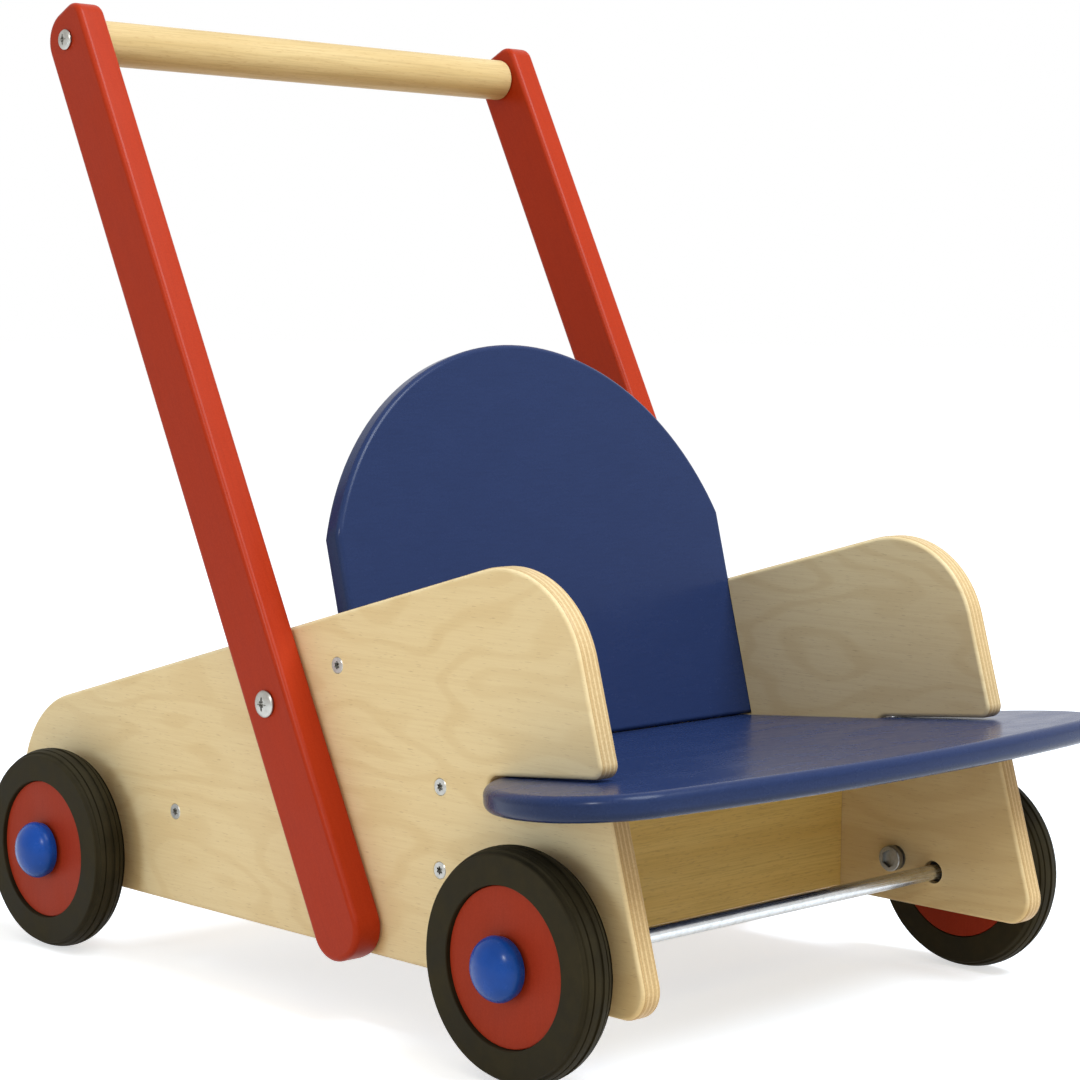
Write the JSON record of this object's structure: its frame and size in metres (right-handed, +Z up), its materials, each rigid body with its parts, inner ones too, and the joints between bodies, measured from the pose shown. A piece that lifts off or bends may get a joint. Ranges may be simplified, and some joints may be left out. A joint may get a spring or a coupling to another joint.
{
  "type": "baby push walker",
  "caption": "Wooden push walker with plywood side panels, a painted seat and backrest, a round grip bar on leaning arms, and rubber-tyred wheels with a screw brake at the front.",
  "frame": {"origin": "on the floor, under the middle of the walker's box", "axes": "+Z up; the walker faces -Y and rolls along Y; its right side is at -X"},
  "size_m": [0.394, 0.5256, 0.5115],
  "materials": {
    "birch_plywood": "clear satin lacquer over rotary-cut birch veneer, layered edges showing",
    "beech_board": "clear satin lacquer over flecked beech",
    "beech_dowel": "sanded and oiled beech",
    "blue_painted_wood": "smooth satin lacquer paint, fine stipple",
    "red_painted_wood": "satin paint over wood, eased edges",
    "red_wheel": "matt paint",
    "tyre_rubber": "matt black rubber with fine grooves round the tread",
    "cap_plastic": "moulded, slightly glossy",
    "dark_nylon": "plain moulded",
    "axle_steel": "drawn bright rod",
    "zinc_steel": "bright zinc plated"
  },
  "bodies": {
    "chassis": {"arm_bolt_left": "zinc_steel", "arm_bolt_right": "zinc_steel", "arm_foot_screw_left": "zinc_steel", "arm_foot_screw_right": "zinc_steel", "arm_nut_left": "zinc_steel", "arm_nut_right": "zinc_steel", "axle_bush_front_left": "dark_nylon", "axle_bush_front_right": "dark_nylon", "axle_bush_rear_left": "dark_nylon", "axle_bush_rear_right": "dark_nylon", "backrest": "blue_painted_wood", "backrest_screw_left": "zinc_steel", "backrest_screw_right": "zinc_steel", "brake_insert_left": "zinc_steel", "brake_insert_right": "zinc_steel", "front_axle": "axle_steel", "front_board_screw_left": "zinc_steel", "front_board_screw_right": "zinc_steel", "front_cross_board": "beech_board", "handle_arm_left": "red_painted_wood", "handle_arm_right": "red_painted_wood", "handle_bar": "beech_dowel", "handle_bar_screw_left": "zinc_steel", "handle_bar_screw_right": "zinc_steel", "hub_cap_front_left": "cap_plastic", "hub_cap_front_right": "cap_plastic", "hub_cap_rear_left": "cap_plastic", "hub_cap_rear_right": "cap_plastic", "rear_axle": "axle_steel", "rear_board_screw_left": "zinc_steel", "rear_board_screw_right": "zinc_steel", "rear_cross_board": "beech_board", "seat_back_screw_left": "zinc_steel", "seat_back_screw_right": "zinc_steel", "seat_board": "blue_painted_wood", "seat_screw_left": "zinc_steel", "seat_screw_right": "zinc_steel", "side_panel_left": "birch_plywood", "side_panel_right": "birch_plywood", "wheel_spacer_front_left": "dark_nylon", "wheel_spacer_front_right": "dark_nylon", "wheel_spacer_rear_left": "dark_nylon", "wheel_spacer_rear_right": "dark_nylon"},
    "wheel_front_right": {"wheel_hub_front_right": "red_wheel", "tyre_front_right": "tyre_rubber"},
    "wheel_front_left": {"wheel_hub_front_left": "red_wheel", "tyre_front_left": "tyre_rubber"},
    "wheel_rear_right": {"wheel_hub_rear_right": "red_wheel", "tyre_rear_right": "tyre_rubber"},
    "wheel_rear_left": {"wheel_hub_rear_left": "red_wheel", "tyre_rear_left": "tyre_rubber"},
    "brake_right_pad": {"brake_pad_right": "dark_nylon"},
    "brake_right_screw": {"brake_screw_right": "zinc_steel"},
    "brake_left_pad": {"brake_pad_left": "dark_nylon"},
    "brake_left_screw": {"brake_screw_left": "zinc_steel"}
  },
  "joints": [
    {"name": "wheel_front_right_spin", "type": "hinge", "parent": "chassis", "child": "wheel_front_right", "pos_m": [-0.16805, -0.1635, 0.0545], "axis": [1, 0, 0], "continuous": true},
    {"name": "wheel_front_left_spin", "type": "hinge", "parent": "chassis", "child": "wheel_front_left", "pos_m": [0.16805, -0.1635, 0.0545], "axis": [1, 0, 0], "continuous": true},
    {"name": "wheel_rear_right_spin", "type": "hinge", "parent": "chassis", "child": "wheel_rear_right", "pos_m": [-0.16805, 0.2031, 0.0545], "axis": [1, 0, 0], "continuous": true},
    {"name": "wheel_rear_left_spin", "type": "hinge", "parent": "chassis", "child": "wheel_rear_left", "pos_m": [0.16805, 0.2031, 0.0545], "axis": [1, 0, 0], "continuous": true},
    {"name": "brake_right_slide", "type": "slide", "parent": "chassis", "child": "brake_right_pad", "axis": [-1, 0, 0], "range_m": [0, 0.0017]},
    {"name": "brake_right_turn", "type": "hinge", "parent": "brake_right_pad", "child": "brake_right_screw", "pos_m": [-0.15, -0.13868, 0.05888], "axis": [-1, 0, 0], "range_deg": [0, 612]},
    {"name": "brake_left_slide", "type": "slide", "parent": "chassis", "child": "brake_left_pad", "axis": [1, 0, 0], "range_m": [0, 0.0017]},
    {"name": "brake_left_turn", "type": "hinge", "parent": "brake_left_pad", "child": "brake_left_screw", "pos_m": [0.15, -0.13868, 0.05888], "axis": [1, 0, 0], "range_deg": [0, 612]}
  ],
  "couplings": [
    {"joint": "brake_right_turn", "follows": "brake_right_slide", "rad_per_m": 6283.2},
    {"joint": "brake_left_turn", "follows": "brake_left_slide", "rad_per_m": 6283.2}
  ]
}
